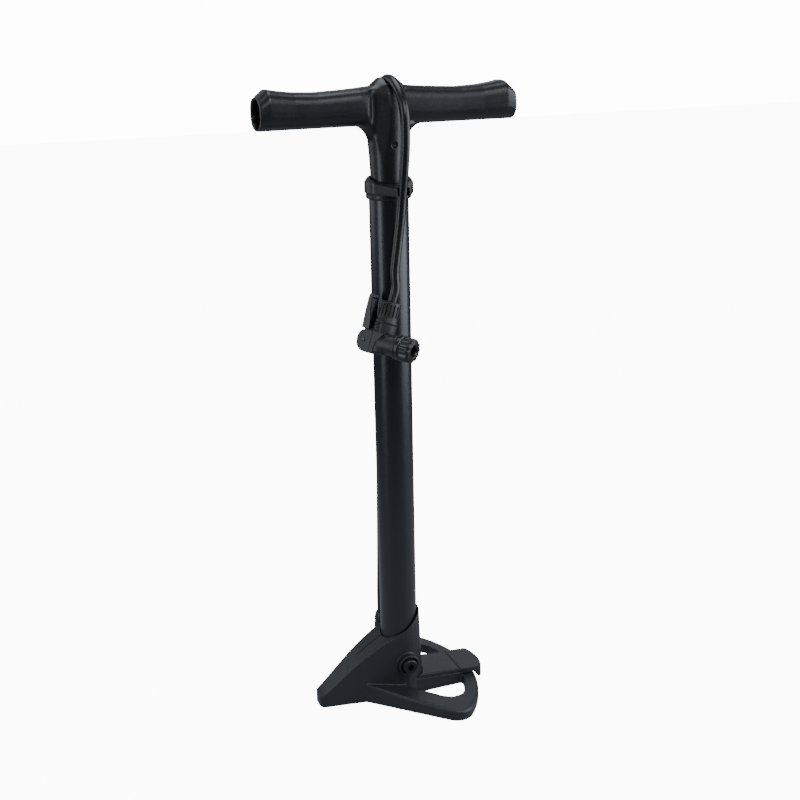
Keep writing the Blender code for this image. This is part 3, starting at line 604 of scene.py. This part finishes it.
def smooth_line(points, steps):
    """A Catmull-Rom curve through points, with a number of steps between each two."""
    spots = [Vector(point) for point in points]
    padded = [spots[0] * 2 - spots[1], *spots, spots[-1] * 2 - spots[-2]]
    made = []
    for a, b, c, d in zip(padded, padded[1:], padded[2:], padded[3:]):
        for i in range(steps):
            t = i / steps
            spot = 2 * b + (c - a) * t + (2 * a - 5 * b + 4 * c - d) * t ** 2
            spot += (3 * b - 3 * c + d - a) * t ** 3
            made.append(spot / 2)
    made.append(spots[-1])
    return made


def hose_route():
    """Up behind the barrel, over the handle's hub, through the clip and down to the head."""
    x, y = GLAND_XY
    route = [(x, y, GLAND_TOP_Z + 0.3), (x, y, 92.0), (-6.6, 26.2, 130.0), (-5.0, 26.6, 200.0),
             (-3.2, 26.8, 290.0), (-1.4, 26.8, 380.0), (-0.3, 26.6, 450.0), (0.0, 26.6, 500.0),
             (0.0, 27.2, 528.0)]
    for degrees in range(0, 181, 15):
        angle = math.radians(degrees)
        lean = ARCH_LEAN * max(0.0, (degrees - 90) / 90)
        route.append((lean, ARCH_Y + ARCH_R * math.cos(angle), ARCH_Z + ARCH_R * math.sin(angle)))
    sleeve_top = head_frame() @ Vector((0, SLEEVE_TOP * MM, 0)) / MM
    before = head_frame() @ Vector((0, (SLEEVE_TOP + HOSE_STRAIGHT) * MM, 0)) / MM
    way = (before - sleeve_top).normalized()
    route += [(1.6, -37.8, 530.0), (1.2, -35.2, 511.0), (0.3, -31.6, 489.0), (-1.0, -29.8, 468.0),
              (-3.6, -29.0, 447.0), (-7.2, -29.8, 423.0), tuple(before), tuple(sleeve_top + way * 0.3)]
    return route


def tube_along(name, line, radius, sides):
    """A closed round tube that follows a line of points, in millimetres."""
    rings = []
    lean = Vector((1, 0, 0))
    for i, spot in enumerate(line):
        way = (line[min(i + 1, len(line) - 1)] - line[max(i - 1, 0)]).normalized()
        lean = (lean - way * lean.dot(way)).normalized()
        across = way.cross(lean)
        turns = [math.tau * k / sides for k in range(sides)]
        rings.append([spot + (lean * math.cos(turn) + across * math.sin(turn)) * radius for turn in turns])
    return swept(name, rings)


def build_hose():
    """The hose, drawn along its route over the handle's hub to the head."""
    line = smooth_line(hose_route(), HOSE_STEPS)
    piece = tube_along("rubber_hose", line, HOSE_R, HOSE_SIDES)
    smooth(piece, 60)
    piece.data.materials.append(HOSE_BLACK)
    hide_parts("hose")
    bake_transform(piece)


# ---------------------------------------------------------------- foot

def height_on(line, x):
    """Height of a line of (x, z) points at x."""
    for (x0, z0), (x1, z1) in zip(line, line[1:]):
        if x0 <= x <= x1:
            return z0 + (z1 - z0) * (x - x0) / (x1 - x0)
    return line[-1][1]


def arm_edge():
    """The outer edge of an arm and half the rim, from the nose to the tongue, on the -Y side."""
    line = [Vector((x, ARM_OUTER_SUM - x)) for x in range(-37, 22, 7)]
    tip_x, tip_y = ARM_TIP
    for degrees in range(-128, -46, 9):
        angle = math.radians(degrees)
        line.append(Vector((tip_x + ARM_TIP_R * math.cos(angle), tip_y + ARM_TIP_R * math.sin(angle))))
    for degrees in range(-42, 1, 6):
        angle = math.radians(degrees)
        line.append(Vector((RIM_CENTRE_X + RIM_OUTER_R * math.cos(angle), RIM_OUTER_R * math.sin(angle))))
    return line


def edge_wedge():
    """A wedge that runs round the arms' and the rim's top outer edge, to bevel it."""
    half = arm_edge()
    plan = half + [Vector((spot.x, -spot.y)) for spot in reversed(half[:-1])]
    rings = []
    for i, spot in enumerate(plan):
        run = plan[min(i + 1, len(plan) - 1)] - plan[max(i - 1, 0)]
        out = Vector((run.y, -run.x)).normalized()
        top = height_on(ARM_TOP, spot.x)
        bevel = EDGE_CHAMFER * min(1.0, 0.2 + 0.3 * min(i, len(plan) - 1 - i))
        corners = ((-bevel - 0.6, 0.6), (0.6, -bevel - 0.6), (3.0, 3.0))
        rings.append([(*(spot + out * reach), top + rise) for reach, rise in corners])
    return swept("edge_wedge", rings)


def seam_tool():
    """A narrow bar that follows the ridge of the nose, to cut its seam."""
    corners = ((-0.45, -0.7), (0.45, -0.7), (0.7, 3), (-0.7, 3))
    ridge = [(x, 69.2 + 0.381 * x - 0.00414 * x * x) for x in range(-44, -14, 4)]
    return swept("seam_tool", [[(x, y, z + rise) for y, rise in corners] for x, z in ridge])


def build_foot():
    """The foot's moulding, with the bevel round its arms and rim and the seam on its nose."""
    piece = copy_of("foot")
    subtract(piece, edge_wedge())
    moulded(piece, grid=0.62, rounds=9)
    subtract(piece, seam_tool())
    lighten(piece, share=0.45)
    finish_piece(piece, "foot_moulding", "frame", FOOT_BLACK, "foot", degrees=50)


def groove(x_low, x_high, y_low, y_high, depth):
    """A shallow box that follows the tread plate's sloping top, to cut a line in it."""
    deselect()
    middle = ((x_low + x_high) / 2 * MM, (y_low + y_high) / 2 * MM, (3.0 - depth) / 2 * MM)
    bpy.ops.mesh.primitive_cube_add(size=1.0, location=middle,
                                    scale=((x_high - x_low) * MM, (y_high - y_low) * MM, (3.0 + depth) * MM))
    tool = settle(bpy.context.object)
    slope = Matrix.Rotation(math.atan(TREAD_SLOPE), 4, "Y")
    return put(tool, Matrix.Translation((0, 0, TREAD_TOP_Z * MM)) @ slope)


def build_tread():
    """The tongue's tread plate, with a line across it and one along each side."""
    piece = moulded(copy_of("tread_plate"), grid=0.45, rounds=2)
    subtract(piece, groove(56.2, 57.2, -30, 30, depth=0.55))
    half_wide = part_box("tread_plate")[1].y / MM
    for side in (-1, 1):
        edge = side * (half_wide - 1.6)
        inner = edge - 0.6 * side
        subtract(piece, groove(20, 56.6, min(edge, inner), max(edge, inner), depth=0.5))
    finish_piece(piece, "tread_moulding", "frame", FOOT_BLACK, "tread_plate", degrees=40)


def build_bolt():
    """The bolt in the boss: a shank, a round head and the hex socket in it."""
    head = turn_up([(2.9, 0.0), (2.9, 15.0), (6.6, 15.0), (7.3, 15.5), (7.3, 20.3), (7.0, 21.0),
                    (6.4, 21.4), (4.4, 21.4)])
    deselect()
    bpy.ops.mesh.primitive_cylinder_add(vertices=6, radius=3.5 * MM, depth=10 * MM,
                                        location=(0, 0, 22.4 * MM))
    subtract(head, settle(bpy.context.object))
    way = Vector((0, 0, 1)).rotation_difference(Vector((0, -1, 0))).to_matrix().to_4x4()
    put(head, Matrix.Translation(Vector(BOLT_SPOT) * MM) @ way)
    finish_piece(head, "socket_bolt_detail", "frame", BOLT_BLACK, "socket_bolt", degrees=30)


def build_gland():
    """The tapered strain relief over the hose's foot."""
    outline = [(4.2, 44.3), (7.4, 44.3), (7.8, 44.9), (7.8, 50.0)]
    for k in range(4):
        low = 50.6 + 3.6 * k
        neck = 7.0 - 0.15 * k
        rib = 7.7 - 0.2 * k
        outline += [(neck, low), (neck, low + 1.0), (rib, low + 1.5), (rib, low + 3.0)]
    outline += [(6.9, 66.5), (6.4, 69.4), (5.6, 71.3), (4.9, GLAND_TOP_Z), (4.25, GLAND_TOP_Z)]
    piece = turn_up(outline)
    put(piece, Matrix.Translation(Vector((*GLAND_XY, 0)) * MM))
    finish_piece(piece, "hose_strain_relief", "frame", COLLAR_BLACK, "hose_gland", degrees=40)


# ---------------------------------------------------------------- barrel, collar and handle

def build_barrel():
    """The painted tube."""
    low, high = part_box("barrel")
    piece = rod_between(BARREL_R, low.z / MM, high.z / MM, vertices=160)
    subtract(piece, rod_between(BARREL_BORE_R, low.z / MM - 5, high.z / MM + 5, vertices=96))
    finish_piece(piece, "barrel_tube", "frame", BARREL_BLACK, "barrel")


def build_collar():
    """The collar and its hose clip, the clip's arms planed flat."""
    piece = copy_of("top_collar")
    for side in (-1, 1):
        deselect()
        middle_x = side * CLIP_FLAT_AT * MM + side * 0.05
        bpy.ops.mesh.primitive_cube_add(size=0.1, location=(middle_x, 0, 0.49), scale=(1, 1, 0.2))
        tool = settle(bpy.context.object)
        put(tool, Matrix.Rotation(side * -math.radians(CLIP_FLAT_TURN), 4, "Z"))
        subtract(piece, tool)
    moulded(piece, grid=0.42, rounds=2)
    finish_piece(piece, "collar_moulding", "frame", COLLAR_BLACK, "top_collar", degrees=50)


def build_handle():
    """The handle's moulding, its bar flowing into the hub and the stem."""
    piece = moulded(copy_of("handle"), grid=0.7, rounds=6)
    group = piece.vertex_groups.new(name="hub_blend")
    low, high = HUB_BLEND
    inside = [vertex.index for vertex in piece.data.vertices
              if all(low[k] < vertex.co[k] / MM < high[k] for k in range(3))]
    group.add(inside, 1.0, "REPLACE")
    apply_modifier(piece, "SMOOTH", factor=0.5, iterations=HUB_BLEND_ROUNDS, vertex_group="hub_blend")
    lighten(piece, share=0.55)
    finish_piece(piece, "handle_moulding", "plunger", HANDLE_BLACK, "handle", degrees=60)


# ---------------------------------------------------------------- pump head

def local_box(low, high):
    """A box between two corners of the head's own frame."""
    deselect()
    middle = [(a + b) / 2 * MM for a, b in zip(low, high)]
    spans = [(b - a) * MM for a, b in zip(low, high)]
    bpy.ops.mesh.primitive_cube_add(size=1.0, location=middle, scale=spans)
    return settle(bpy.context.object)


def local_turn(outline, vertices):
    """A shape turned about the way of the hose, in the head's own frame."""
    return put(turn_up(outline, vertices), Matrix.Rotation(math.radians(-90), 4, "X"))


def build_head_body():
    """The head's body: knuckle, valve barrel, flange and slotted neck, with its parting line."""
    piece = moulded(copy_of("head_body"), grid=0.32, rounds=3)
    lighten(piece, share=0.7)
    parting = local_box((-5.3, -9.6, 9.6), (-4.8, 7.6, 12.0))
    subtract(piece, put(parting, head_frame()))
    finish_piece(piece, "head_moulding", "frame", HEAD_SATIN, "head_body", degrees=50)
    return piece


def build_sleeve():
    """The sleeve that grips the hose: a plain ring, grooved sides and a plain rim."""
    body = local_turn([(9.4, 16.5), (9.7, 16.9), (9.7, 18.8), (9.2, 19.6), (8.9, 23.0), (8.7, 33.8),
                       (8.5, 34.4), (8.5, 35.5), (8.1, SLEEVE_TOP)], 64)
    subtract(body, local_turn([(4.5, 10.0), (4.5, 45.0)], 32))
    for k in range(SLEEVE_GROOVES):
        tool = local_box((-0.62, 23.4, 7.5), (0.62, 33.6, 11.0))
        put(tool, Matrix.Rotation(math.tau * (k + 0.5) / SLEEVE_GROOVES, 4, "Y"))
        subtract(body, tool)
    put(body, head_frame())
    finish_piece(body, "hose_grip_sleeve", "frame", SLEEVE_BLACK, "hose_sleeve", degrees=40)
    return body


def build_knurl():
    """The knurled ring round the valve's mouth, its lobes softly rounded."""
    ring = moulded(copy_of("knurled_nut"), grid=0.26, rounds=2)
    finish_piece(ring, "knurled_ring", "nut", HEAD_GLOSS, "knurled_nut", degrees=50)
    return ring


def build_lever():
    """The locking lever: a tapering channel, open towards the hose."""
    piece = moulded(copy_of("lock_lever"), grid=0.34, rounds=2)
    finish_piece(piece, "lever_moulding", "lever", HEAD_GLOSS, "lock_lever", degrees=50)
    return piece


def build_check_spring():
    """The check valve's spring, given a mesh of its own."""
    piece = copy_of("check_spring")
    finish_piece(piece, "check_valve_spring", "frame", STEEL, "check_spring", degrees=60)
    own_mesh(piece)


build_camera()
build_stage()
build_foot()
build_tread()
build_bolt()
build_gland()
build_barrel()
build_check_spring()
build_collar()
build_handle()
head_pieces = [build_head_body(), build_sleeve(), build_knurl(), build_lever()]
head_pieces += [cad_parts[name] for name in ("hose_barb", "lever_pin", "head_plunger", "valve_depressor",
                                                  "valve_gasket")]
build_hose()
